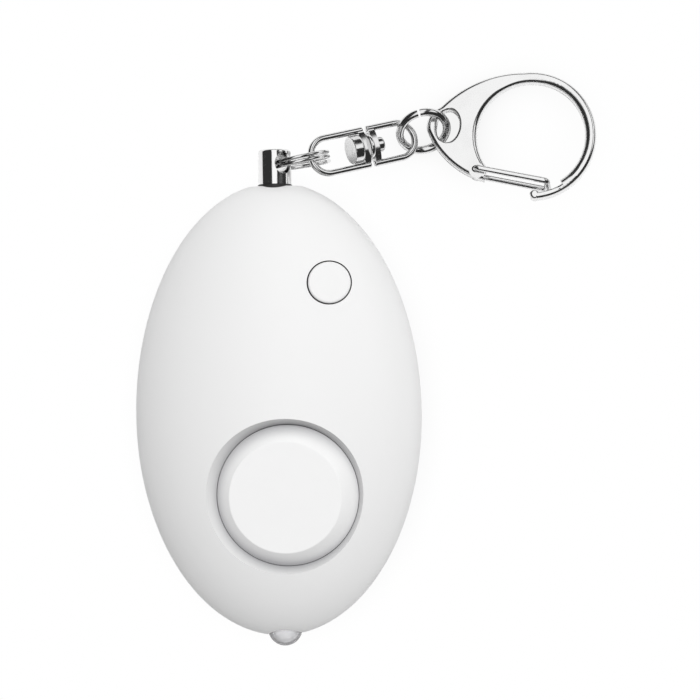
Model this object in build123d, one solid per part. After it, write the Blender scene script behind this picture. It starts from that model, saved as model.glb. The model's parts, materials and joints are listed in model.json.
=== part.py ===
from build123d import *
import os
from math import acos, asin, atan2, cos, degrees, hypot, radians, sin, sqrt, tan

# A personal safety alarm, lying on its back. Millimetres.
# x runs across the casing, y along it from the torch end to the pull pin, and z up to the front face.
# The origin is on the surface that the back rests on, below the casing's widest line.

overrun = 1.0            # how far every cut runs past what it cuts
hair = 0.05              # the least clearance between close pieces

# Casing: an egg in two shells that meet at a level seam
half_width = 19.15
crown_length = 31.0      # widest line to the pin end, before the end is cut flat
heel_length = 29.6       # widest line to the torch end
front_rise = 10.2        # seam to the top of the front
back_drop = 10.6         # seam to the bottom of the back, before the back is cut flat
back_flat = 0.8          # how much of the back is cut flat
crown_trim = 0.55        # how much of the pin end is cut flat
wall = 1.5
seam_reveal = 0.18       # height of the fine groove that shows along the seam
reveal_depth = 0.3
lip_height = 1.0         # tongue of the back shell inside the front shell
lip_thickness = 0.7

# Siren recess and the cap in it. The recess stands square to the front, so heights here are from the front's surface
siren_x = 1.5
siren_y = -11.3
siren_tilt = 7.5         # degrees, towards the torch end
bevel_foot_radius = 9.45
bevel_depth = 2.9        # the front's surface to the foot of the bevel
bevel_spread_x = 2.55    # how far the bevel widens up to where it is cut off above the front
bevel_spread_y = 1.35
bevel_top = 0.3
ledge = 0.9              # below the foot of the bevel, over the cap's flange
cap_slope = 2.02         # from the foot of the cap's side in to its flat top
cap_top_depth = 1.6
cap_top_x, cap_top_y = -0.28, -0.12                  # the cap's flat top is a little off its foot
cap_gap = 0.08
cap_round = 0.2
cap_flange_reach = 1.05  # how far the flange stands past the foot of the bevel
cap_flange = 0.7
cap_side = 1.05          # from the foot of the bevel in to the hollow under the cap
cap_roof = 1.9
skirt_wall = 0.8
plate_inset = 0.5        # brass plate of the sounder, in from the flange's rim
plate_thickness = 0.3
ceramic_share = 0.7      # of the plate's radius
ceramic_thickness = 0.25
sounder_ring_width = 1.7
sounder_ring_height = 1.4

# Torch button and its switch
button_x = 7.5
button_y = 17.05
button_radius = 2.8
button_gap = 0.16
button_proud = 0.22
button_round = 0.3
button_stop_rise = 3.4   # above the seam
button_flange_radius = 3.45
button_flange = 0.8
button_guide_wall = 0.9
button_travel = 0.5
switch_side = 5.0
switch_height = 3.5
switch_corner = 0.5
stem_radius = 0.9

# Screws, posts and the circuit board
upper_screw_x = 12.2
upper_screw_y = 12.2
lower_screw_x = 10.4
lower_screw_y = -19.4
upper_seat_drop = 4.9    # below the seam
lower_seat_drop = 4.3
screw_head_radius = 1.9
screw_head = 1.3
screw_shank_radius = 0.95
screw_length = 8.0
screw_cross_width = 0.5
screw_cross_depth = 0.6
screw_cross_share = 0.6  # of the head's radius
boss_radius = 2.0
post_radius = 3.0
board_drop = 3.0         # below the seam
board_thickness = 1.0
board_gap = 0.4
board_crown_gap = 0.7    # to the inner end of the pin's bush
board_heel_gap = 6.2     # to the casing's torch end

# Button cells
cell_radius = 5.8
cell_length = 5.4
cell_cap_radius = 4.9
cell_cap = 0.5
cell_y = 6.5
cell_drop = 1.5          # the stack's axis, below the seam
cell_count = 3
window_gap = 0.4
saddle_x = 5.4
saddle_thickness = 1.0
contact_thickness = 0.3
contact_half_width = 3.5
contact_foot = 3.2

# Parts on the board
core_x, core_y, core_radius, core_height, core_flange, core_post_radius = -2.6, -13.3, 3.5, 3.4, 0.7, 1.6
capacitor_x, capacitor_y, capacitor_radius, capacitor_height = 6.8, -13.6, 2.0, 4.0
chip_x, chip_y, chip_length, chip_width, chip_height, chip_leg = 3.2, -5.0, 5.0, 3.9, 1.5, 1.0
transistor_x, transistor_y, transistor_length, transistor_width, transistor_height = -5.5, -5.0, 2.9, 1.6, 1.1

# Pull pin, its bush and the siren's trigger
pin_head_radius = 2.2
pin_head_gap = 0.27      # to the flat of the pin end
pin_head_length = 4.68
pin_head_round = 0.35
pin_shaft_radius = 1.3
pin_tip_gap = 1.4        # to the trigger
pin_tip_round = 0.5
pin_travel = 16.0
hole_reach = 2.78        # cross hole for the split ring, from the head's base
hole_radius = 1.1
hole_flare_radius = 1.45
hole_flare_depth = 0.7
hole_lean = 39.0         # degrees, the hole's axis leans from straight up towards +x
bush_radius = 2.3
bush_proud = 0.22
bush_length = 8.95       # behind the flat
bush_flange_radius = 3.1
bush_flange = 1.0
trigger_half_width = 3.0
trigger_length = 2.2
trigger_height = 4.4
trigger_gap = 0.5        # to the cells
plunger_radius = 0.7
plunger_length = 2.9
plunger_travel = 0.8

# Torch lamp and lens
lens_radius = 2.3
lens_x = 0.4             # the lens and lamp sit a little to one side
lens_dome_inset = 0.9    # centre of the lens's dome, inside the casing's torch end
lens_wall = 0.6
lens_flange_radius = 3.0
lens_length = 2.5        # the dome's centre to the flange
lens_flange = 0.8
lamp_radius = 1.5
lamp_clear = 0.8         # the lamp's end to the outside of the dome
lamp_length = 5.3
lamp_flange_radius = 1.8
lamp_flange = 1.0
leg_side = 0.5
leg_spread = 1.27

# Split ring
split_radius = 4.1       # centre of the wire
split_wire = 0.27        # radius of the wire
split_pitch = 0.62        # from one turn to the next
split_yaw = 9.6          # degrees, how the ring's plane turns from +x towards +y
split_tip = 2.5          # degrees, how far the ring's plane is from upright
split_lean = 35.5        # degrees, how far the ring hangs down from the hole
split_shift = -0.2       # the ring hangs to one side in the hole, along y
split_slack = 0.3

# Swivel: two wire eyes on one rivet
swivel_from_hole = (4.53, 0.55, -0.47)               # outside of the lower eye's bend, from the middle of the pin's hole
swivel_slope = 25.3      # degrees down from the lower eye
swivel_yaw = 13.5
swivel_length = 16.4
eye_half_width = 2.42    # centre of the wire
eye_wire = 0.45          # radius of the wire
eye_plate = 0.85
eye_plate_depth = 2.2
eye_leg_past = 0.1       # how far the legs come through the plate
lower_plate_start = 7.8
rivet_head_radius = 1.92
rivet_head = 1.5
rivet_head_round = 0.4
rivet_face_round = 0.12
rivet_shank_radius = 0.85
collar_radius = 1.85
collar_length = 0.65
collar_round = 0.25
tail_radius = 1.05
tail_length = 0.9
tail_round = 0.3

# Jump ring between the swivel and the clip
jump_from_swivel = (0.893, 0.649, 0.579)             # its centre, from the outside of the upper eye's bend
jump_radius = 3.25
jump_wire = 0.55
jump_tilt = 43.0         # degrees, the side away from the casing is raised
jump_lean = 16.0         # degrees towards +x
jump_gap = 5.0           # degrees, the cut in the ring
jump_gap_at = 110.0      # degrees round the ring

# Snap clip
clip_from_jump = (14.6, -1.13, 0.5)                  # centre of its opening, from the centre of the jump ring
clip_yaw = -8.07
clip_rise = 4.0          # degrees, the far side is raised
clip_roll = 8.0          # degrees, the gate side is raised
clip_thickness = 2.0
opening_radius = 7.3
opening_round = 0.75
band_radius = 8.85       # outside of the ring band
clip_edge_round = 0.55
corner_round = 0.8       # in plan, where two edges meet
eye_distance = 11.37     # eye to opening, centre to centre
boss_outer_radius = 2.88
eye_half_length = 1.58
eye_half_height = 2.28
eye_round = 0.3
shoulder_x, shoulder_y = -7.85, 6.75                 # a point on the long upper edge
keel_x, keel_y = -11.3, -4.35                        # a point on the lower edge
shoulder_angle = 103.0   # where the upper edge leaves the band
boss_upper_angle = 118.0
boss_lower_angle = 200.0
lobe_foot_shares = (0.35, 0.92)                      # where the lower edge meets the lobe, of its radius
gate_pivots = ((-6.95, -5.45), (-6.25, -5.95))       # where the gate's legs turn, front and rear
lobe_radius = 1.05
notch_angle = -50.0
band_foot_angle = -128.0
tongue_radius = 7.95     # inside of the thin tongue
tip_angle = -77.0
tongue_round = 0.3
tip_bead_radius = 0.65
tip_bead_round = 0.35
gate_wire = 0.42
gate_tips = ((3.0, -6.1), (3.12, -6.75))             # the loop's two ends, front and rear
gate_spread = 1.55       # centre of a leg from the clip's middle plane
gate_tip_spread = 1.2
gate_bend = 0.5
gate_reach = 0.35        # how near the ends come inside the pivot hole
pivot_hole_radius = 0.47

# Places that follow from the sizes
seam_height = back_drop - back_flat          # above the flat of the back
crown_flat = crown_length - crown_trim       # from the widest line to the flat round the pin
bevel_top_x = bevel_foot_radius + bevel_spread_x
bevel_top_y = bevel_foot_radius + bevel_spread_y
cap_top_radius = bevel_foot_radius - cap_slope
cap_flange_radius = bevel_foot_radius + cap_flange_reach
cap_hollow_radius = bevel_foot_radius - cap_side
plate_radius = cap_flange_radius - plate_inset
ceramic_radius = plate_radius * ceramic_share
button_stop_height = seam_height + button_stop_rise
upper_seat_height = seam_height - upper_seat_drop
lower_seat_height = seam_height - lower_seat_drop
board_bottom = seam_height - board_drop
cell_height = seam_height - cell_drop
pin_head_base = crown_flat + pin_head_gap
pin_head_end = pin_head_base + pin_head_length
hole_y = pin_head_base + hole_reach
trigger_end = cell_y + cell_radius + trigger_gap + trigger_length
pin_tip = trigger_end + pin_tip_gap
bush_inner_end = crown_flat - bush_length
board_crown_end = bush_inner_end - board_crown_gap
board_heel_end = board_heel_gap - heel_length
lens_y = lens_dome_inset - heel_length
lens_flange_front = lens_y + lens_length
lamp_end = lens_y - lens_radius + lamp_clear
lamp_base = lamp_end + lamp_length
board_top = board_bottom + board_thickness
lobe_x, lobe_y = [(front + rear) / 2 for front, rear in zip(*gate_pivots)]
pivot_axis = Vector(
    gate_pivots[0][0] - gate_pivots[1][0], gate_pivots[0][1] - gate_pivots[1][1], 2 * gate_spread
).normalized()
stack_length = cell_length * cell_count
lip_inset = wall - lip_thickness
siren_height = seam_height + front_rise * sqrt(1 - (siren_x / half_width) ** 2 - (siren_y / heel_length) ** 2)
siren_place = Plane(
    origin=(siren_x, siren_y, siren_height),
    x_dir=(1, 0, 0),
    z_dir=(0, -sin(radians(siren_tilt)), cos(radians(siren_tilt))),
).location
ledge_under = -bevel_depth - ledge
plate_top = ledge_under - cap_flange
plate_under = plate_top - plate_thickness
skirt_bottom = plate_under - sounder_ring_height
screws = [
    (upper_screw_x, upper_screw_y, upper_seat_height),
    (-upper_screw_x, upper_screw_y, upper_seat_height),
    (lower_screw_x, lower_screw_y, lower_seat_height),
    (-lower_screw_x, lower_screw_y, lower_seat_height),
]


def level(height):
    """The horizontal plane at this height."""
    return Plane.XY.offset(height)


def along_y(x, start, z, end, radius):
    """A round bar along y."""
    plane = Plane(origin=(x, start, z), x_dir=(1, 0, 0), z_dir=(0, 1, 0))
    return plane * Cylinder(radius, end - start, align=(Align.CENTER, Align.CENTER, Align.MIN))


def upright(x, y, bottom, top, radius):
    """A round post."""
    return Pos(x, y, bottom) * Cylinder(radius, top - bottom, align=(Align.CENTER, Align.CENTER, Align.MIN))


def block(low, high):
    """A box between two corners."""
    size = [h - l for l, h in zip(low, high)]
    return Pos(*low) * Box(*size, align=(Align.MIN, Align.MIN, Align.MIN))


# Casing

def egg_face(inset, share=1.0):
    """The outline of the casing at the seam, drawn in by inset and scaled by share."""
    width = (half_width - inset) * share
    crown = (crown_length - inset) * share
    heel = (heel_length - inset) * share
    lower = EllipticalCenterArc((0, 0), width, heel, start_angle=-90, arc_size=90)
    upper = EllipticalCenterArc((0, 0), width, crown, start_angle=0, arc_size=90)
    half = make_face([lower, upper, Line((0, crown), (0, -heel))])
    return half, width


def egg_half(inset, bulge):
    """Half of the egg on the seam, bulging up or, with a negative bulge, down."""
    half, width = egg_face(inset)
    turned = revolve(half, Axis.Y, 180)
    rise = abs(bulge) - inset
    pressed = scale(turned, by=(1, 1, rise / width))
    if bulge > 0:
        pressed = Rot(0, 180, 0) * pressed
    return Pos(0, 0, seam_height) * pressed


def egg_slab(inset, bottom, top, share=1.0):
    """An upright prism with the seam's outline."""
    half, _ = egg_face(inset, share)
    whole = half + mirror(half, about=Plane.YZ)
    return Pos(0, 0, bottom) * extrude(whole, top - bottom)


def recess_room():
    """The room of the siren recess: a bevel from its foot out past the front."""
    foot = Pos(0, 0, -bevel_depth) * Circle(bevel_foot_radius)
    return siren_place * loft([foot, Pos(0, 0, bevel_top) * Ellipse(bevel_top_x, bevel_top_y)], ruled=True)


def in_siren(bottom, top, radius):
    """A round post square to the siren's recess, between two heights from the front's surface."""
    return siren_place * upright(0, 0, bottom, top, radius)


button_top = seam_height + front_rise + button_proud
guide_radius = button_radius + button_gap
rib_back = lens_flange_front + lens_flange + hair
saddle_radius = bush_radius + wall


def crown_cut():
    """Everything past the flat at the pin end."""
    return block(
        (-half_width, crown_flat, -overrun),
        (half_width, crown_length + overrun, seam_height + front_rise + overrun),
    )


def pin_saddle():
    """Material that holds the pin's bush."""
    return along_y(0, bush_inner_end + bush_flange, seam_height, crown_flat, saddle_radius)


def lens_rib():
    """A rib behind the lens's flange."""
    half = lens_flange_radius + wall
    return block((lens_x - half, rib_back, seam_height - half), (lens_x + half, rib_back + wall, seam_height + half))


def end_bores():
    """Bores for the bush and for the lens and lamp."""
    bush = along_y(0, bush_inner_end, seam_height, crown_flat + overrun, bush_radius + hair)
    lens = along_y(lens_x, lens_y - lens_radius - overrun, seam_height, lens_flange_front, lens_radius + hair)
    lamp = along_y(lens_x, lens_flange_front, seam_height, rib_back + wall + overrun, lamp_flange_radius + hair)
    return bush + lens + lamp


def make_front_shell():
    """The front moulding: dome, recess wall, sounder skirt, button guide and screw bosses."""
    outer = egg_half(0, front_rise)
    inner = egg_half(wall, front_rise)
    shell = outer - inner
    dish = in_siren(skirt_bottom, bevel_top, cap_flange_radius + hair + skirt_wall)
    guide = upright(button_x, button_y, button_stop_height + hair, button_top, guide_radius + button_guide_wall)
    shell += dish & inner
    shell += guide & inner
    for x, y, seat in screws:
        shell += upright(x, y, board_top, seam_height + front_rise, boss_radius) & inner
    shell += (pin_saddle() + lens_rib()) & inner
    shell -= recess_room()
    shell -= in_siren(skirt_bottom - overrun, ledge_under, cap_flange_radius + hair)
    shell -= in_siren(ledge_under - overrun, -bevel_depth + overrun / 4, bevel_foot_radius)
    shell -= upright(button_x, button_y, seam_height, button_top + overrun, guide_radius)
    for x, y, seat in screws:
        shell -= upright(x, y, board_top - overrun, seat + screw_length + hair, screw_shank_radius + hair / 2)
    shell -= egg_slab(lip_inset - hair, seam_height - overrun, seam_height + lip_height)
    reveal = block(
        (-half_width - overrun, -heel_length - overrun, seam_height - overrun),
        (half_width + overrun, crown_length + overrun, seam_height + seam_reveal),
    )
    shell -= reveal - egg_slab(reveal_depth, seam_height - 2 * overrun, seam_height + front_rise)
    shell -= end_bores()
    shell -= crown_cut()
    return shell


def make_back_shell():
    """The back moulding: dome with a flat to rest on, seam tongue, posts, saddles and screw seats."""
    outer = egg_half(0, -back_drop)
    inner = egg_half(wall, -back_drop)
    shell = outer - inner
    tongue = egg_slab(lip_inset, seam_height - hair, seam_height + lip_height)
    tongue -= egg_slab(wall, seam_height - overrun, seam_height + lip_height + overrun)
    shell += tongue
    for x, y, seat in screws:
        shell += upright(x, y, 0, board_bottom, post_radius) & inner
    cell_room = Plane(origin=(-half_width, cell_y, cell_height), x_dir=(0, 1, 0), z_dir=(1, 0, 0)) * Cylinder(
        cell_radius + hair, 2 * half_width, align=(Align.CENTER, Align.CENTER, Align.MIN)
    )
    for side in (-1, 1):
        x = side * saddle_x - saddle_thickness / 2
        rib = block((x, cell_y - cell_radius, 0), (x + saddle_thickness, cell_y + cell_radius, board_bottom))
        shell += (rib - cell_room) & inner
    shell += (pin_saddle() + lens_rib()) & inner
    for x, y, seat in screws:
        shell -= upright(x, y, -overrun, seat, screw_head_radius + 4 * hair)
        shell -= upright(x, y, 0, board_bottom + overrun, screw_shank_radius + hair)
    shell -= end_bores()
    shell -= crown_cut()
    floor = block(
        (-half_width, -heel_length, seam_height - back_drop - overrun),
        (half_width, crown_length, 0),
    )
    return shell - floor


# Siren

def make_siren_cap():
    """The round cap: a flat top, a sloping side down to the foot of the bevel, and a flange under the ledge."""
    foot = Pos(0, 0, -bevel_depth) * Circle(bevel_foot_radius - cap_gap)
    top = Pos(cap_top_x, cap_top_y, -cap_top_depth) * Circle(cap_top_radius)
    dome = loft([foot, top], ruled=True)
    dome = fillet(dome.edges().sort_by(Axis.Z)[-1], cap_round)
    cap = dome + upright(0, 0, plate_top, -bevel_depth, bevel_foot_radius - cap_gap)
    cap += upright(0, 0, plate_top, ledge_under - hair, cap_flange_radius)
    cap -= upright(0, 0, plate_top - overrun, -cap_top_depth - cap_roof, cap_hollow_radius)
    return siren_place * cap


def make_sounder():
    """Brass plate, ceramic disc and the ring that presses them to the cap."""
    plate = in_siren(plate_under, plate_top, plate_radius)
    ceramic = in_siren(plate_under - ceramic_thickness, plate_under, ceramic_radius)
    ring = in_siren(skirt_bottom, plate_under, cap_flange_radius)
    ring -= in_siren(skirt_bottom - overrun, plate_under + overrun, cap_flange_radius - sounder_ring_width)
    return plate, ceramic, ring


# Torch button and switch

def make_torch_button():
    """A round button whose top follows the front's curve, with a flange that stops it."""
    dome = raised_front(button_proud)
    stalk = upright(button_x, button_y, button_stop_height - button_flange, button_top + overrun, button_radius)
    button = stalk & dome
    top = button.faces().sort_by(Axis.Z)[-1]
    button = fillet(top.edges(), button_round)
    flange = upright(
        button_x, button_y, button_stop_height - button_flange, button_stop_height, button_flange_radius
    )
    return button + flange


def raised_front(extra):
    """The front's dome, raised by extra, as a solid block down to the seam."""
    half, width = egg_face(0)
    turned = scale(revolve(half, Axis.Y, 180), by=(1, 1, (front_rise + extra) / width))
    return Pos(0, 0, seam_height) * (Rot(0, 180, 0) * turned)


def make_torch_switch():
    """The push switch on the board, and its stem."""
    half = switch_side / 2
    body = block(
        (button_x - half, button_y - half, board_top),
        (button_x + half, button_y + half, board_top + switch_height),
    )
    body = chamfer(body.edges().filter_by(Axis.Z), switch_corner)
    stem_bottom = board_top + switch_height / 2
    stem_top = button_stop_height - button_flange - hair
    body -= upright(button_x, button_y, stem_bottom - button_travel - hair, board_top + switch_height + overrun,
                    stem_radius + hair)
    stem = upright(button_x, button_y, stem_bottom, stem_top, stem_radius)
    return body, stem


# Board and what is on it

def make_board():
    """The circuit board: the casing's inside outline with a window for the cells."""
    share = sqrt(1 - ((seam_height - board_bottom) / (back_drop - wall)) ** 2)
    board = egg_slab(wall + board_gap, board_bottom, board_top, share)
    board &= block(
        (-half_width, board_heel_end, board_bottom - overrun), (half_width, board_crown_end, board_top + overrun)
    )
    half = stack_length / 2 + contact_foot / 2
    board -= block(
        (-half, cell_y - cell_radius - window_gap, board_bottom - overrun),
        (half, cell_y + cell_radius + window_gap, board_top + overrun),
    )
    for x, y, seat in screws:
        board -= upright(x, y, board_bottom - overrun, board_top + overrun, screw_shank_radius + 4 * hair)
    return board


def make_cell(number):
    """One button cell of the stack, lying along x."""
    start = -stack_length / 2 + number * cell_length
    plane = Plane(origin=(start, cell_y, cell_height), x_dir=(0, 1, 0), z_dir=(1, 0, 0))
    can = Cylinder(cell_radius, cell_length - cell_cap, align=(Align.CENTER, Align.CENTER, Align.MIN))
    can = fillet(can.edges().sort_by(Axis.Z)[0], cell_cap)
    cap = Pos(0, 0, cell_length - cell_cap) * Cylinder(
        cell_cap_radius, cell_cap, align=(Align.CENTER, Align.CENTER, Align.MIN)
    )
    return plane * (can + cap)


def make_contact(side):
    """A sprung metal tab against one end of the stack, with a foot on the board."""
    x = stack_length / 2
    tab = block(
        (x, cell_y - contact_half_width, board_bottom - contact_half_width),
        (x + contact_thickness, cell_y + contact_half_width, cell_height + contact_half_width),
    )
    foot = block(
        (x, cell_y - contact_half_width / 2, board_top),
        (x + contact_foot, cell_y + contact_half_width / 2, board_top + contact_thickness),
    )
    both = tab + foot
    return both if side > 0 else mirror(both, about=Plane.YZ)


def make_core():
    """The ferrite bobbin of the step-up coil."""
    post = upright(core_x, core_y, board_top, board_top + core_height, core_post_radius)
    low = upright(core_x, core_y, board_top, board_top + core_flange, core_radius)
    high = upright(core_x, core_y, board_top + core_height - core_flange, board_top + core_height, core_radius)
    return post + low + high


def make_winding():
    """The coil's copper winding."""
    low, high = board_top + core_flange + hair, board_top + core_height - core_flange - hair
    ring = upright(core_x, core_y, low, high, core_radius - core_flange / 2)
    return ring - upright(core_x, core_y, low - overrun, high + overrun, core_post_radius + hair)


def make_capacitor():
    """A small upright capacitor can."""
    can = upright(capacitor_x, capacitor_y, board_top, board_top + capacitor_height, capacitor_radius)
    return fillet(can.edges().sort_by(Axis.Z)[-1], capacitor_radius / 6)


def make_chip():
    """The driver chip with its two rows of legs."""
    low = (chip_x - chip_length / 2, chip_y - chip_width / 2, board_top + hair)
    body = block(low, (chip_x + chip_length / 2, chip_y + chip_width / 2, board_top + chip_height))
    pitch = chip_length / 4
    leg = pitch / 3
    for row in (-1, 1):
        for k in range(4):
            x = chip_x + (k - 1.5) * pitch
            y = chip_y + row * (chip_width / 2 + chip_leg / 2)
            body += block(
                (x - leg / 2, y - chip_leg / 2 - hair, board_top),
                (x + leg / 2, y + chip_leg / 2, board_top + chip_height / 2),
            )
    return body


def make_transistor():
    """A small transistor."""
    return block(
        (transistor_x - transistor_length / 2, transistor_y - transistor_width / 2, board_top),
        (transistor_x + transistor_length / 2, transistor_y + transistor_width / 2, board_top + transistor_height),
    )


# Screws

def make_screw(x, y, seat):
    """A pan-head screw, put in from the back."""
    head = upright(x, y, seat - screw_head, seat, screw_head_radius)
    head = fillet(head.edges().sort_by(Axis.Z)[0], screw_head / 2)
    shank = upright(x, y, seat, seat + screw_length, screw_shank_radius)
    shank = chamfer(shank.edges().sort_by(Axis.Z)[-1], screw_shank_radius / 2)
    screw = head + shank
    half, depth = screw_head_radius * screw_cross_share, seat - screw_head + screw_cross_depth
    for across in ((half, screw_cross_width / 2), (screw_cross_width / 2, half)):
        screw -= block(
            (x - across[0], y - across[1], seat - screw_head - overrun), (x + across[0], y + across[1], depth)
        )
    return screw


# Pull pin

hole_axis = Vector(sin(radians(hole_lean)), 0, cos(radians(hole_lean)))


def make_pull_pin():
    """The pin: a round head with a flared cross hole, and a long shaft."""
    head = along_y(0, pin_head_base, seam_height, pin_head_end, pin_head_radius)
    head = fillet(head.edges().sort_by(Axis.Y)[-1], pin_head_round)
    shaft = along_y(0, pin_tip, seam_height, pin_head_base, pin_shaft_radius)
    shaft = fillet(shaft.edges().sort_by(Axis.Y)[0], pin_tip_round)
    pin = head + shaft
    hole = Plane(origin=(0, hole_y, seam_height), z_dir=hole_axis)
    pin -= hole * Cylinder(hole_radius, 2 * (pin_head_radius + overrun))
    for end in (-1, 1):
        depth = hole_flare_depth + overrun
        spread = (hole_flare_radius - hole_radius) / hole_flare_depth * depth
        start = pin_head_radius - hole_flare_depth
        flare = Cone(hole_radius, hole_radius + spread, depth, align=(Align.CENTER, Align.CENTER, Align.MIN))
        turn = Rot(0, 0, 0) if end > 0 else Rot(180, 0, 0)
        pin -= hole * (turn * (Pos(0, 0, start) * flare))
    return pin


def make_pin_bush():
    """The dark bush that the pin slides in."""
    bush = along_y(0, bush_inner_end, seam_height, crown_flat + bush_proud, bush_radius)
    bush += along_y(0, bush_inner_end, seam_height, bush_inner_end + bush_flange, bush_flange_radius)
    return bush - along_y(
        0, bush_inner_end - overrun, seam_height, crown_flat + bush_proud + overrun, pin_shaft_radius + hair
    )


def make_trigger():
    """The siren's switch on the board, and the plunger that the pin holds in."""
    body = block(
        (-trigger_half_width, trigger_end - trigger_length, board_top),
        (trigger_half_width, trigger_end, board_top + trigger_height),
    )
    tip = pin_tip - hair
    plunger = along_y(0, tip - plunger_length, seam_height, tip, plunger_radius)
    body -= along_y(0, tip - plunger_length - hair, seam_height, trigger_end + overrun, plunger_radius + hair)
    return body, plunger


# Torch

def make_lens():
    """The clear dome that stands out of the torch end."""
    lens = along_y(lens_x, lens_y, seam_height, lens_flange_front + lens_flange, lens_radius)
    lens += Pos(lens_x, lens_y, seam_height) * Sphere(lens_radius)
    lens += along_y(lens_x, lens_flange_front, seam_height, lens_flange_front + lens_flange, lens_flange_radius)
    hollow = lens_radius - lens_wall
    lens -= along_y(lens_x, lens_y, seam_height, lens_flange_front + lens_flange + overrun, hollow)
    lens -= Pos(lens_x, lens_y, seam_height) * Sphere(hollow)
    return lens


def make_lamp():
    """A small round lamp with two legs bent down to the board."""
    centre = lamp_end + lamp_radius
    lamp = along_y(lens_x, centre, seam_height, lamp_base, lamp_radius)
    lamp += Pos(lens_x, centre, seam_height) * Sphere(lamp_radius)
    lamp += along_y(lens_x, lamp_base - lamp_flange, seam_height, lamp_base, lamp_radius + hair)
    for side in (-1, 1):
        x = lens_x + side * leg_spread / 2
        low = x - leg_side / 2
        bend = board_heel_end + lamp_flange
        lamp += block((low, lamp_base, seam_height - leg_side / 2), (low + leg_side, bend, seam_height + leg_side / 2))
        lamp += block((low, bend - leg_side, board_top), (low + leg_side, bend, seam_height + leg_side / 2))
    return lamp


# Key ring hardware

yaw = radians(split_yaw)
split_across = Vector(cos(yaw), sin(yaw), 0)
tip = radians(split_tip)
split_normal = Vector(-sin(yaw) * cos(tip), cos(yaw) * cos(tip), sin(tip))
lean = radians(split_lean)
split_centre = (
    Vector(0, hole_y + split_shift, seam_height)
    + (split_radius - split_slack) * (cos(lean) * split_across + sin(lean) * split_normal.cross(split_across))
)


def split_path():
    """The split ring's centre line: two turns, each half turn a tilted half circle, with its ends on the far side."""
    half_rise = split_pitch / 2
    span = hypot(split_radius, half_rise / 2)
    halves = []
    height = -split_pitch
    for turn in range(4):
        side = 1 if turn % 2 == 0 else -1
        start = (side * split_radius, 0, height)
        middle = (0, side * span, height + half_rise / 2)
        end = (-side * split_radius, 0, height + half_rise)
        halves.append(ThreePointArc(start, middle, end))
        height += half_rise
    return halves


def split_least_gap(steps=90):
    """The least gap between the split ring's turns, measured on points of its centre line."""
    points = [half @ (k / steps) for half in split_path() for k in range(steps)]
    turn = 2 * steps
    apart = min(
        (points[i] - points[j]).length
        for i in range(len(points))
        for j in range(i + turn // 2, len(points))
    )
    return apart - 2 * split_wire


def make_split_ring():
    """Two turns of round wire as one unbroken tube."""
    path = Wire(split_path())
    profile = Plane(origin=path @ 0, z_dir=path % 0) * Circle(split_wire)
    coil = sweep(profile, path=path)
    place = Plane(origin=split_centre, x_dir=split_across, z_dir=split_normal)
    return place.location * coil


slope = radians(swivel_slope)
turn_in = radians(swivel_yaw)
swivel_along = Vector(cos(slope) * cos(turn_in), cos(slope) * sin(turn_in), -sin(slope))
swivel_across = Vector(-sin(turn_in), cos(turn_in), 0)
swivel_start = Vector(0, hole_y, seam_height) + Vector(*swivel_from_hole)
swivel_place = Plane(
    origin=swivel_start, x_dir=swivel_along, z_dir=swivel_along.cross(swivel_across)
).location
jump_centre = swivel_start + swivel_along * swivel_length + Vector(*jump_from_swivel)
clip_centre = jump_centre + Vector(*clip_from_jump)
lower_plate_end = lower_plate_start + eye_plate
upper_plate_start = lower_plate_end + collar_length + hair
upper_plate_end = upper_plate_start + eye_plate


def bar_along_x(start, end, radius):
    """A round bar along the swivel."""
    return Plane(origin=(start, 0, 0), x_dir=(0, 1, 0), z_dir=(1, 0, 0)) * Cylinder(
        radius, end - start, align=(Align.CENTER, Align.CENTER, Align.MIN)
    )


def wire_eye(bend, plate_start, hole):
    """A wire bent to a U, with a plate across its open end; bend is the outside of the wire's bend."""
    inward = 1 if plate_start > bend else -1
    centre = bend + inward * (eye_wire + eye_half_width)
    plate_middle = plate_start + eye_plate / 2
    tip = plate_middle + inward * (eye_plate / 2 + eye_leg_past)
    first = Line((tip, eye_half_width), (centre, eye_half_width))
    round_end = ThreePointArc(
        (centre, eye_half_width), (centre - inward * eye_half_width, 0), (centre, -eye_half_width)
    )
    last = Line((centre, -eye_half_width), (tip, -eye_half_width))
    path = Wire([first, round_end, last])
    profile = Plane(origin=path @ 0, z_dir=path % 0) * Circle(eye_wire)
    eye = sweep(profile, path=path)
    ends = eye.edges().filter_by(GeomType.CIRCLE).filter_by(lambda e: abs(e.center().X - tip) < hair)
    eye = fillet(ends, eye_wire / 2)
    bar = Plane.YZ * Ellipse(eye_half_width, eye_plate_depth / 2)
    eye += Pos(plate_start, 0, 0) * extrude(bar, eye_plate)
    return eye - bar_along_x(plate_start - overrun, plate_start + eye_plate + overrun, hole)


def make_swivel():
    """Lower eye, upper eye and the rivet that joins them."""
    lower = wire_eye(0, lower_plate_start, rivet_shank_radius + hair / 2)
    upper = wire_eye(swivel_length, upper_plate_start, rivet_shank_radius + hair)
    head = bar_along_x(lower_plate_start - rivet_head, lower_plate_start, rivet_head_radius)
    ends = head.edges().filter_by(GeomType.CIRCLE).sort_by(Axis.X)
    head = fillet(ends[-1], rivet_head_round)
    ends = head.edges().filter_by(GeomType.CIRCLE).sort_by(Axis.X)
    head = fillet(ends[0], rivet_face_round)
    collar = bar_along_x(lower_plate_end, lower_plate_end + collar_length, collar_radius)
    collar = fillet(collar.edges().filter_by(GeomType.CIRCLE), collar_round)
    tail = bar_along_x(upper_plate_end + hair, upper_plate_end + hair + tail_length, tail_radius)
    tail = fillet(tail.edges().filter_by(GeomType.CIRCLE).sort_by(Axis.X)[-1], tail_round)
    shank = bar_along_x(lower_plate_start - hair, upper_plate_end + 2 * hair, rivet_shank_radius)
    rivet = head + collar + tail + shank
    return [swivel_place * piece for piece in (lower, upper, rivet)]


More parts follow.
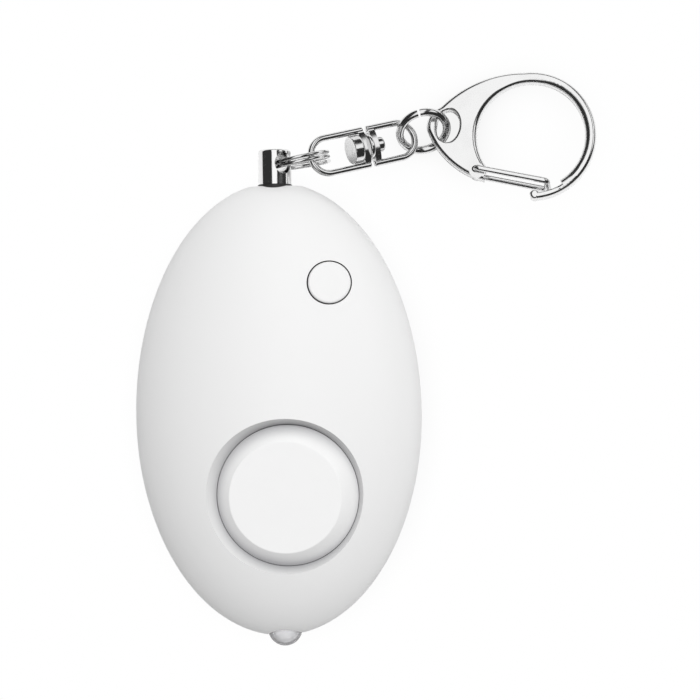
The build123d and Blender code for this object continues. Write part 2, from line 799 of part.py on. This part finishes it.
tilt, lean_x = radians(jump_tilt), radians(jump_lean)
jump_normal = Vector(sin(lean_x) * cos(tilt), -sin(tilt), cos(lean_x) * cos(tilt))
jump_plane = Plane(origin=jump_centre, x_dir=Vector(0, 1, 0).cross(jump_normal), z_dir=jump_normal)


def make_jump_ring():
    """An open ring of round wire."""
    section = Plane.XZ * (Pos(jump_radius, 0) * Circle(jump_wire))
    ring = revolve(section, Axis.Z, 360 - jump_gap)
    return jump_plane.location * (Rot(0, 0, jump_gap_at + jump_gap / 2) * ring)


def clip_frame():
    """The clip's own plane: x from its eye to its opening, z out of its face."""
    turn = Rot(0, 0, clip_yaw) * Rot(0, -clip_rise, 0) * Rot(-clip_roll, 0, 0)
    return Pos(*clip_centre) * turn


def polar(radius, angle):
    """A point of the clip, round the centre of its opening."""
    return (radius * cos(radians(angle)), radius * sin(radians(angle)))


def clip_outline():
    """The clip's closed outer outline: ring band, upper edge, boss round the eye and lower edge."""
    boss = [
        (boss_outer_radius * cos(radians(a)) - eye_distance, boss_outer_radius * sin(radians(a)))
        for a in (boss_upper_angle, (boss_upper_angle + boss_lower_angle) / 2, boss_lower_angle)
    ]
    foot = (lobe_x - lobe_radius * lobe_foot_shares[0], lobe_y - lobe_radius * lobe_foot_shares[1])
    band_start, band_end = polar(band_radius, band_foot_angle), polar(band_radius, shoulder_angle)
    edges = [
        ThreePointArc(band_start, polar(band_radius, (band_foot_angle + shoulder_angle) / 2), band_end),
        ThreePointArc(band_end, (shoulder_x, shoulder_y), boss[0]),
        ThreePointArc(*boss),
        ThreePointArc(boss[2], (keel_x, keel_y), foot),
        Line(foot, band_start),
    ]
    return make_face(edges)


def round_cutter(r, e):
    """A round cutter through the clip that rolls the edge out to its faces; r is its radius, e that of the edge."""
    half = clip_thickness / 2
    k = e * (1 - sin(radians(45)))
    edges = [
        Line((0, -half - overrun), (r + e, -half - overrun)),
        Line((r + e, -half - overrun), (r + e, -half)),
        ThreePointArc((r + e, -half), (r + k, -half + k), (r, -half + e)),
        Line((r, -half + e), (r, half - e)),
        ThreePointArc((r, half - e), (r + k, half - k), (r + e, half)),
        Line((r + e, half), (r + e, half + overrun)),
        Line((r + e, half + overrun), (0, half + overrun)),
        Line((0, half + overrun), (0, -half - overrun)),
    ]
    return revolve(make_face(Plane.XZ * Wire(edges)), Axis.Z, 360)


def gate_gap():
    """What is cut out of the band for the gate, up to the tip and under the thin tongue."""
    tall = clip_thickness + overrun
    far = band_radius + overrun
    side = (lobe_x + lobe_radius, lobe_y)
    gap = make_face(Polyline((0, 0), side, (side[0], -far), polar(far, tip_angle), (0, 0)))
    over_tongue = make_face(Polyline((0, 0), polar(far, tip_angle), polar(far, notch_angle), (0, 0)))
    under = extrude(over_tongue, tall, both=True) & round_cutter(tongue_radius, tongue_round)
    return extrude(gap, tall, both=True) + under


def make_clip_body():
    """The cast clip: a ring band, a flat web with the eye, the gate's pivot lobe and a thin tongue."""
    half = clip_thickness / 2
    outline = clip_outline()
    outline = fillet(outline.vertices(), corner_round)
    body = extrude(outline, half, both=True)
    rim_edges = [e for e in body.edges() if abs(abs(e.center().Z) - half) < hair]
    body = fillet(rim_edges, clip_edge_round)
    eye = Pos(-eye_distance, 0, 0) * extrude(Ellipse(eye_half_length, eye_half_height), clip_thickness, both=True)
    body -= eye
    eye_edges = [e for e in body.edges() if e.is_closed and abs(abs(e.center().Z) - half) < hair]
    body = fillet(eye_edges, eye_round)
    body -= round_cutter(opening_radius, opening_round)
    body -= gate_gap()
    body += Pos(lobe_x, lobe_y, 0) * Cylinder(lobe_radius, clip_thickness)
    bead = polar((tongue_radius + band_radius) / 2 - tip_bead_radius / 3, tip_angle - 2)
    tip_bead = Cylinder(tip_bead_radius, clip_thickness)
    body += Pos(bead[0], bead[1], 0) * fillet(tip_bead.edges().filter_by(GeomType.CIRCLE), tip_bead_round)
    body -= Plane(origin=(lobe_x, lobe_y, 0), z_dir=pivot_axis) * Cylinder(pivot_hole_radius, clip_thickness + overrun)
    return clip_frame() * body


def make_clip_gate():
    """A sprung wire gate: two legs beside the clip, joined by a loop inside the tongue."""
    middle = Vector(lobe_x, lobe_y, 0)
    points = [
        middle + pivot_axis * gate_reach,
        (*gate_pivots[0], gate_spread),
        (*gate_tips[0], gate_tip_spread),
        (*gate_tips[1], -gate_tip_spread),
        (*gate_pivots[1], -gate_spread),
        middle - pivot_axis * gate_reach,
    ]
    path = FilletPolyline(*points, radius=gate_bend)
    profile = Plane(origin=path @ 0, z_dir=path % 0) * Circle(gate_wire)
    return clip_frame() * sweep(profile, path=path)


pieces = {}
pieces["front_shell"] = make_front_shell()
pieces["back_shell"] = make_back_shell()
pieces["siren_cap"] = make_siren_cap()
pieces["sounder_plate"], pieces["sounder_ceramic"], pieces["sounder_ring"] = make_sounder()
pieces["torch_button"] = make_torch_button()
pieces["torch_switch"], pieces["torch_switch_stem"] = make_torch_switch()
pieces["circuit_board"] = make_board()
for number in range(cell_count):
    pieces[f"button_cell_{number + 1}"] = make_cell(number)
pieces["contact_plus"] = make_contact(1)
pieces["contact_minus"] = make_contact(-1)
pieces["coil_core"] = make_core()
pieces["coil_winding"] = make_winding()
pieces["capacitor"] = make_capacitor()
pieces["driver_chip"] = make_chip()
pieces["transistor"] = make_transistor()
for number, (x, y, seat) in enumerate(screws):
    pieces[f"case_screw_{number + 1}"] = make_screw(x, y, seat)
pieces["pull_pin"] = make_pull_pin()
pieces["pin_bush"] = make_pin_bush()
pieces["trigger_switch"], pieces["trigger_plunger"] = make_trigger()
pieces["torch_lens"] = make_lens()
pieces["torch_lamp"] = make_lamp()
pieces["split_ring"] = make_split_ring()
pieces["swivel_lower_eye"], pieces["swivel_upper_eye"], pieces["swivel_rivet"] = make_swivel()
pieces["jump_ring"] = make_jump_ring()
pieces["clip_body"] = make_clip_body()
pieces["clip_gate"] = make_clip_gate()

os.makedirs("parts", exist_ok=True)
print("split ring, least gap between its turns", round(split_least_gap(), 3))
for name, solid in pieces.items():
    export_step(solid, f"parts/{name}.step")
    print(name, len(solid.solids()), round(solid.volume, 2))
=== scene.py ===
import json
import math

import bpy
from mathutils import Matrix, Vector

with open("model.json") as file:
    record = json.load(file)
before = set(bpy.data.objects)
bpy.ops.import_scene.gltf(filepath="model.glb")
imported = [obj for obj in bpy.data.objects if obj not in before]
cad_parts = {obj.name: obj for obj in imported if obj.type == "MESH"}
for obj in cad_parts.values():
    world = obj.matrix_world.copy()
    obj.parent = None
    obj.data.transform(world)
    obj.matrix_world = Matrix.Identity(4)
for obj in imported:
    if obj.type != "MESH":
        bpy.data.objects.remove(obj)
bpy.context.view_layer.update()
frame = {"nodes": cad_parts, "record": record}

MM = 0.001
WHITE = (1, 1, 1, 1)

# Camera: the photo's own, fitted to the casing's outline. Sizes in millimetres, angles in degrees.
CAMERA_FROM_RIGHT = 3.0
CAMERA_FROM_FOOT = 2.0
CAMERA_ROLL = 1.0
CAMERA_AIM = (9.7, 8.34, 9.8)
CAMERA_DISTANCE = 480.0
CAMERA_NEAREST = 0.01            # metres
CAMERA_FARTHEST = 20.0
PHOTO_WIDTH = 700                # pixels
PHOTO_SCALE = 7.47               # pixels to a millimetre at the aim
SENSOR = 36.0
LENS = PHOTO_SCALE * CAMERA_DISTANCE * SENSOR / PHOTO_WIDTH

# Floor, in metres.
FLOOR_SIZE = 6.0
FLOOR_DROP = 0.00005             # how far it lies under the object, so that the two don't flicker
FLOOR_PALE = 0.93
FLOOR_ROUGH = 0.9
FLOOR_SHADE = 0.88               # how dark the painted shade on the floor gets right under the object, of white
FLOOR_REACH = 0.008              # how far that shade spreads
FLOOR_SHADE_FROM_TO = (0.10, 0.95)
FLOOR_SHADE_SAMPLES = 16

# Light from all round: its strength, and how much more of it comes from above.
EVEN_LIGHT = 0.22
SKY_LIGHT = 0.06
SKY_FROM_TO = (-0.2, 0.9)

# What shiny surfaces mirror: dark walls, a soft box above and a smaller one far to the right. Each pair says
# over which part of a direction's x, y or z a box fades in or out.
WALL_STRENGTH = 0.035
BOX_STRENGTH = 1.15
BOX_SHIFT = -0.04
BOX_SIDES = (0.25, 0.33)
BOX_HEIGHT = (0.30, 0.45)
BOX_FOOT = (-0.55, -0.35)
FAR_BOX_LEFT = (0.50, 0.62)
FAR_BOX_RIGHT = (0.80, 0.90)
FAR_BOX_FOOT = (0.10, 0.16)
FAR_BOX_HEIGHT = (0.25, 0.40)

# The one lamp, in metres and watts.
KEY_PLACE = (0.20, 0.28, 1.10)
KEY_AIM = (0, 0, 0)
KEY_SIZE = 0.60
KEY_POWER = 11.8

# Surfaces. Reaches and heights in metres.
GRAIN_HEIGHT = 0.00005
GRAIN_DETAIL = 3.0
GRAIN_FROM_TO = (0.35, 0.65)
# Painted shade in grooves: the occlusion test's samples, ramp and reach, and the colour a surface turns deep
# in a groove.
PAINTED_SHADE_SAMPLES = 8
PAINTED_SHADE_FROM_TO = (0.30, 0.98)
PAINTED_SHADE_REACH = 0.0026
PAINTED_SHADE_COLOR = (0.36, 0.36, 0.37)

MAX_BOUNCES = 12
LENS_BOUNCES = 10                # through the clear dome
MIRROR_BOUNCES = 6               # among the links of the chain

scene = bpy.context.scene


def make_camera():
    """The camera, placed and turned as in the photo."""
    from_right, from_foot = math.radians(CAMERA_FROM_RIGHT), math.radians(CAMERA_FROM_FOOT)
    back = Vector((math.sin(from_right), -math.sin(from_foot), 0))
    back.z = math.sqrt(1 - back.x ** 2 - back.y ** 2)
    up = (Vector((0, 1, 0)) - back.y * back).normalized()
    side = up.cross(back)
    roll = math.radians(CAMERA_ROLL)
    up = math.cos(roll) * up + math.sin(roll) * side
    side = up.cross(back)
    data = bpy.data.cameras.new("camera")
    camera = bpy.data.objects.new("camera", data)
    scene.collection.objects.link(camera)
    place = Matrix((side, up, back)).transposed().to_4x4()
    place.translation = (Vector(CAMERA_AIM) + back * CAMERA_DISTANCE) * MM
    camera.matrix_world = place
    data.sensor_width = SENSOR
    data.lens = LENS
    data.clip_start, data.clip_end = CAMERA_NEAREST, CAMERA_FARTHEST
    scene.camera = camera


# Shader helpers

class Graph:
    """Adds nodes to a node tree and wires them, one call a node."""

    def __init__(self, tree):
        self.tree = tree

    def node(self, kind, **settings):
        made = self.tree.nodes.new(kind)
        for key, value in settings.items():
            setattr(made, key, value)
        return made

    def put(self, socket, value):
        if isinstance(value, bpy.types.NodeSocket):
            self.tree.links.new(value, socket)
        else:
            socket.default_value = value

    def math(self, operation, a, b=0.0):
        made = self.node("ShaderNodeMath", operation=operation)
        self.put(made.inputs[0], a)
        self.put(made.inputs[1], b)
        return made.outputs[0]

    def ramp(self, value, low, high, to_low=0.0, to_high=1.0):
        """Smooth step from to_low at low to to_high at high."""
        made = self.node("ShaderNodeMapRange", interpolation_type="SMOOTHSTEP")
        for socket, v in zip(made.inputs, (value, low, high, to_low, to_high)):
            self.put(socket, v)
        return made.outputs[0]

    def mix(self, share, a, b):
        """A colour between a and b."""
        made = self.node("ShaderNodeMix", data_type="RGBA")
        self.put(made.inputs[0], share)
        self.put(made.inputs[6], a)
        self.put(made.inputs[7], b)
        return made.outputs[2]


def new_group(name, inputs, outputs):
    """A shader node group with these sockets, its graph, and its input and output nodes."""
    tree = bpy.data.node_groups.new(name, "ShaderNodeTree")
    for label, kind, default in inputs:
        made = tree.interface.new_socket(name=label, in_out="INPUT", socket_type=kind)
        made.default_value = default
    for label, kind in outputs:
        tree.interface.new_socket(name=label, in_out="OUTPUT", socket_type=kind)
    graph = Graph(tree)
    return tree, graph, graph.node("NodeGroupInput"), graph.node("NodeGroupOutput")


def fine_grain_group():
    """A faint moulded or worn surface: a normal, and a mask from 0 to 1 for roughness."""
    tree, g, start, end = new_group(
        "fine_grain",
        [("Scale", "NodeSocketFloat", 600.0), ("Depth", "NodeSocketFloat", 0.05)],
        [("Normal", "NodeSocketVector"), ("Mask", "NodeSocketFloat")],
    )
    place = g.node("ShaderNodeTexCoord")
    noise = g.node("ShaderNodeTexNoise")
    g.put(noise.inputs["Vector"], place.outputs["Object"])
    g.put(noise.inputs["Scale"], start.outputs["Scale"])
    noise.inputs["Detail"].default_value = GRAIN_DETAIL
    bump = g.node("ShaderNodeBump")
    bump.inputs["Distance"].default_value = GRAIN_HEIGHT
    g.put(bump.inputs["Strength"], start.outputs["Depth"])
    g.put(bump.inputs["Height"], noise.outputs["Fac"])
    g.put(end.inputs["Normal"], bump.outputs["Normal"])
    g.put(end.inputs["Mask"], g.ramp(noise.outputs["Fac"], *GRAIN_FROM_TO))
    return tree


def painted_shade_group():
    """A painted shade mask from an occlusion test: 1 on open faces, falling to 0 deep in grooves, where shade
    falls.
    """
    tree, g, start, end = new_group(
        "painted_groove_shade",
        [("Reach", "NodeSocketFloat", PAINTED_SHADE_REACH)],
        [("Open", "NodeSocketFloat")],
    )
    shade = g.node("ShaderNodeAmbientOcclusion", samples=PAINTED_SHADE_SAMPLES)
    g.put(shade.inputs["Distance"], start.outputs["Reach"])
    g.put(end.inputs["Open"], g.ramp(shade.outputs["AO"], *PAINTED_SHADE_FROM_TO))
    return tree


GRAIN = fine_grain_group()
PAINTED_SHADE = painted_shade_group()


def make_material(name, color, metallic=0.0, rough=(0.35, 0.42), grain=0.05, scale=600.0, **more):
    """A principled material with faint grain. rough holds its smoothest and roughest value."""
    made = bpy.data.materials.new(name)
    made.use_nodes = True
    tree = made.node_tree
    g = Graph(tree)
    base = tree.nodes["Principled BSDF"]
    base.inputs["Base Color"].default_value = (*color, 1)
    base.inputs["Metallic"].default_value = metallic
    surface = g.node("ShaderNodeGroup", node_tree=GRAIN)
    surface.inputs["Scale"].default_value = scale
    surface.inputs["Depth"].default_value = grain
    g.put(base.inputs["Normal"], surface.outputs["Normal"])
    g.put(base.inputs["Roughness"], g.ramp(surface.outputs["Mask"], 0.0, 1.0, *rough))
    for key, value in more.items():
        base.inputs[key.replace("_", " ")].default_value = value
    return made


def paint_groove_shade(made):
    """Paints shade into a material's colour: darker where its surface lies deep in a groove."""
    tree = made.node_tree
    g = Graph(tree)
    base = tree.nodes["Principled BSDF"]
    open_color = tuple(base.inputs["Base Color"].default_value)
    mask = g.node("ShaderNodeGroup", node_tree=PAINTED_SHADE)
    mask.inputs["Reach"].default_value = PAINTED_SHADE_REACH
    g.put(base.inputs["Base Color"], g.mix(mask.outputs["Open"], (*PAINTED_SHADE_COLOR, 1), open_color))


MATERIALS = {
    # Casing
    "shell_white": make_material("shell_white", (0.80, 0.80, 0.80), rough=(0.40, 0.46), grain=0.10),
    "cap_white": make_material("cap_white", (0.84, 0.84, 0.84), rough=(0.30, 0.36), grain=0.05),
    "button_white": make_material("button_white", (0.80, 0.80, 0.80), rough=(0.40, 0.46), grain=0.10),
    # Pin and key hardware
    "pin_chrome": make_material("pin_chrome", (0.80, 0.80, 0.80), 1.0, (0.08, 0.12), 0.02),
    "ring_nickel": make_material("ring_nickel", (0.70, 0.70, 0.70), 1.0, (0.10, 0.16), 0.03),
    "clip_nickel": make_material("clip_nickel", (0.76, 0.76, 0.76), 1.0, (0.12, 0.18), 0.03, 250.0),
    "bush_black": make_material("bush_black", (0.02, 0.02, 0.02), rough=(0.35, 0.45)),
    # Torch
    "lens_clear": make_material(
        "lens_clear", (0.74, 0.74, 0.75), rough=(0.10, 0.16), grain=0.0,
        Transmission_Weight=0.70, IOR=1.12,
    ),
    # The faint emission is a painted glow: it brightens the inside of the LED lamp, which is not lit.
    "lamp_clear": make_material(
        "lamp_clear", (0.95, 0.95, 0.94), rough=(0.20, 0.25), grain=0.0, Emission_Strength=0.35
    ),
    # Inside
    "switch_black": make_material("switch_black", (0.025, 0.025, 0.03), rough=(0.4, 0.5)),
    "sounder_brass": make_material("sounder_brass", (0.75, 0.58, 0.30), 1.0, (0.25, 0.35), 0.05),
    "sounder_ceramic": make_material("sounder_ceramic", (0.75, 0.73, 0.68), rough=(0.5, 0.6)),
    "board_green": make_material("board_green", (0.03, 0.18, 0.07), rough=(0.3, 0.4)),
    "cell_steel": make_material("cell_steel", (0.62, 0.62, 0.62), 1.0, (0.25, 0.33), 0.05),
    "contact_steel": make_material("contact_steel", (0.68, 0.68, 0.67), 1.0, (0.22, 0.3), 0.05),
    "screw_steel": make_material("screw_steel", (0.55, 0.55, 0.55), 1.0, (0.25, 0.35), 0.08),
    "ferrite": make_material("ferrite", (0.06, 0.06, 0.06), rough=(0.5, 0.6)),
    "copper_wire": make_material("copper_wire", (0.65, 0.28, 0.12), 1.0, (0.3, 0.4), 0.2),
    "sleeve_black": make_material("sleeve_black", (0.03, 0.04, 0.08), rough=(0.2, 0.3)),
}
# Painted shade: the casing and the siren cap get darker in their grooves, in place of shade from the
# lighting.
paint_groove_shade(MATERIALS["shell_white"])
paint_groove_shade(MATERIALS["cap_white"])


def paint_frame():
    """Gives every CAD piece the material of its slot."""
    slots = {part["node"]: part["material_slot"] for part in frame["record"]["subparts"]}
    for node, piece in frame["nodes"].items():
        piece.data.materials.clear()
        piece.data.materials.append(MATERIALS[slots[node]])


def mirrored_studio(g, x, y, z):
    """How bright shiny surfaces see the studio in the direction x, y, z."""
    across = g.math("ABSOLUTE", g.math("ADD", x, BOX_SHIFT))
    box = g.math("MULTIPLY", g.ramp(across, *BOX_SIDES, 1.0, 0.0), g.ramp(z, *BOX_HEIGHT))
    box = g.math("MULTIPLY", box, g.ramp(y, *BOX_FOOT))
    far_box = g.math("MULTIPLY", g.ramp(x, *FAR_BOX_LEFT), g.ramp(x, *FAR_BOX_RIGHT, 1.0, 0.0))
    far_height = g.math("MULTIPLY", g.ramp(y, *FAR_BOX_FOOT), g.ramp(z, *FAR_BOX_HEIGHT))
    boxes = g.math("ADD", box, g.math("MULTIPLY", far_box, far_height))
    return g.math("ADD", g.math("MULTIPLY", boxes, BOX_STRENGTH), WALL_STRENGTH)


def make_world():
    """A studio by direction: white to the camera, soft boxes and dark walls in reflections, even light."""
    world = bpy.data.worlds.new("studio")
    scene.world = world
    world.use_nodes = True
    tree = world.node_tree
    tree.nodes.clear()
    g = Graph(tree)
    place = g.node("ShaderNodeTexCoord")
    split = g.node("ShaderNodeSeparateXYZ")
    g.put(split.inputs[0], place.outputs["Generated"])
    x, y, z = split.outputs
    mirrored = mirrored_studio(g, x, y, z)
    even = g.math("ADD", g.math("MULTIPLY", g.ramp(z, *SKY_FROM_TO), SKY_LIGHT), EVEN_LIGHT)
    ray = g.node("ShaderNodeLightPath").outputs
    strength = g.math("MULTIPLY", ray["Is Glossy Ray"], g.math("SUBTRACT", mirrored, even))
    strength = g.math("ADD", even, strength)
    clear = g.math("MAXIMUM", ray["Is Camera Ray"], ray["Is Transmission Ray"])
    to_white = g.math("MULTIPLY", clear, g.math("SUBTRACT", 1.0, strength))
    strength = g.math("ADD", strength, to_white)
    ground = g.node("ShaderNodeBackground")
    ground.inputs["Color"].default_value = WHITE
    g.put(ground.inputs["Strength"], strength)
    out = g.node("ShaderNodeOutputWorld")
    g.put(out.inputs["Surface"], ground.outputs[0])


def make_key_light():
    """A large soft lamp above the object that reflections don't show."""
    data = bpy.data.lights.new("key", "AREA")
    data.shape = "RECTANGLE"
    data.size = KEY_SIZE
    data.energy = KEY_POWER
    key = bpy.data.objects.new("key", data)
    scene.collection.objects.link(key)
    key.location = KEY_PLACE
    key.rotation_mode = "QUATERNION"
    key.rotation_quaternion = (Vector(KEY_AIM) - Vector(KEY_PLACE)).to_track_quat("-Z", "Y")
    key.visible_glossy = False
    key.visible_camera = False


def floor_material():
    """Pale and solid to light. To the camera it is white with a painted soft shade under the object, and
    clear below.
    """
    made = bpy.data.materials.new("floor_white")
    made.use_nodes = True
    tree = made.node_tree
    g = Graph(tree)
    base = tree.nodes["Principled BSDF"]
    base.inputs["Base Color"].default_value = (FLOOR_PALE, FLOOR_PALE, FLOOR_PALE, 1)
    base.inputs["Roughness"].default_value = FLOOR_ROUGH
    base.inputs["Specular IOR Level"].default_value = 0.0
    # Painted shadow: to the camera the floor darkens by an occlusion test near the object, not by the lamp's
    # own shadow.
    near = g.node("ShaderNodeAmbientOcclusion", samples=FLOOR_SHADE_SAMPLES)
    near.inputs["Distance"].default_value = FLOOR_REACH
    shade = g.ramp(near.outputs["AO"], *FLOOR_SHADE_FROM_TO)
    clear = g.node("ShaderNodeBsdfTransparent")
    shaded = (FLOOR_SHADE, FLOOR_SHADE, FLOOR_SHADE, 1)
    g.put(clear.inputs["Color"], g.mix(shade, shaded, WHITE))
    seen = g.node("ShaderNodeLightPath").outputs["Is Camera Ray"]
    below = g.node("ShaderNodeNewGeometry").outputs["Backfacing"]
    sheet = g.node("ShaderNodeMixShader")
    g.put(sheet.inputs[0], g.math("MAXIMUM", seen, below))
    g.put(sheet.inputs[1], base.outputs[0])
    g.put(sheet.inputs[2], clear.outputs[0])
    g.put(tree.nodes["Material Output"].inputs["Surface"], sheet.outputs[0])
    return made


def make_floor():
    """A plain pale floor that the object lies on. What the chain swings down below it stays in view."""
    bpy.ops.mesh.primitive_plane_add(size=FLOOR_SIZE, location=(0, 0, -FLOOR_DROP))
    floor = bpy.context.object
    floor.name = "floor"
    floor.data.materials.append(floor_material())


def settings():
    """Plain colours, and enough bounces for the lens and the chain."""
    scene.view_settings.view_transform = "Standard"
    scene.cycles.max_bounces = MAX_BOUNCES
    scene.cycles.transmission_bounces = LENS_BOUNCES
    scene.cycles.glossy_bounces = MIRROR_BOUNCES


make_camera()
paint_frame()
make_world()
make_key_light()
make_floor()
settings()
